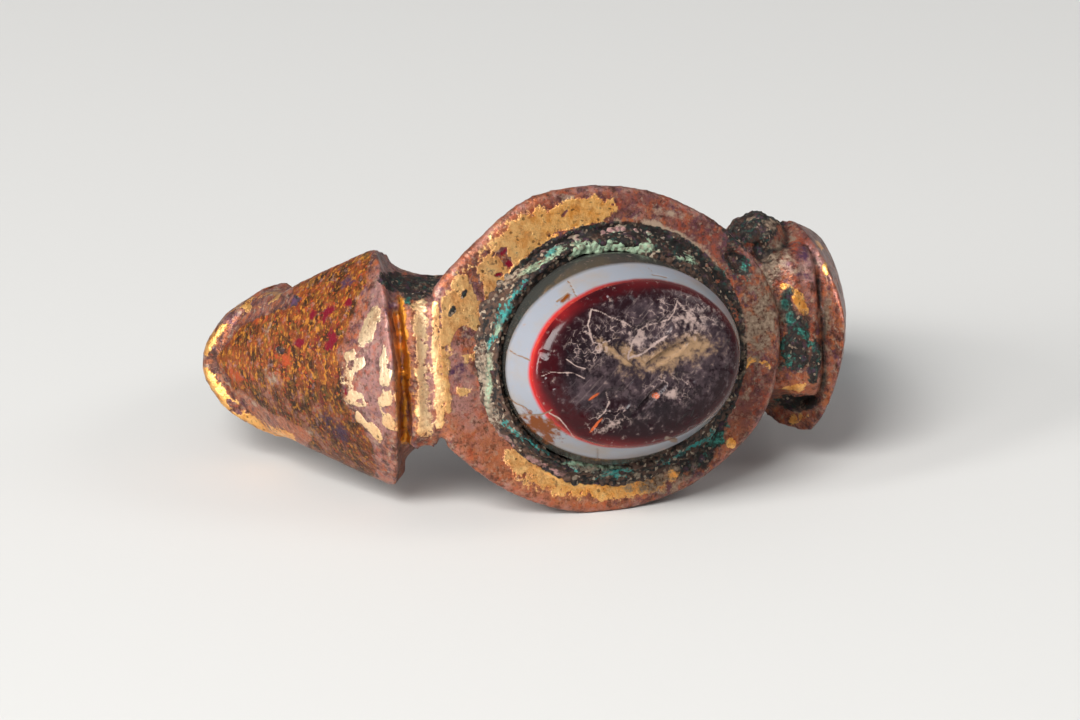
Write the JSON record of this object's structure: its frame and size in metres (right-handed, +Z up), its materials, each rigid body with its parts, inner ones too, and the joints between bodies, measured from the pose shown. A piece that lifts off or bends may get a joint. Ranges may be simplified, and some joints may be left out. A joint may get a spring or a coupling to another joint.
{
  "type": "intaglio finger ring",
  "caption": "Ancient gilded bronze finger ring with leaf shoulders, ribbed necks and a worn banded agate intaglio, lying on its side.",
  "frame": {"origin": "middle of the ring's footprint on the surface it lies on", "axes": "+X across the finger hole to the ring's right shoulder, -Y the way the stone faces, +Z up"},
  "size_m": [0.0286, 0.0256, 0.0129],
  "materials": {
    "gilded_bronze": "cast bronze with worn gilding, red-brown patina and green-black crust",
    "banded_agate": "polished banded agate: dark base, white band, red edge and purple-black worn top"
  },
  "bodies": {
    "root": {"ring_body": "gilded_bronze", "agate_gem": "banded_agate"}
  },
  "joints": []
}
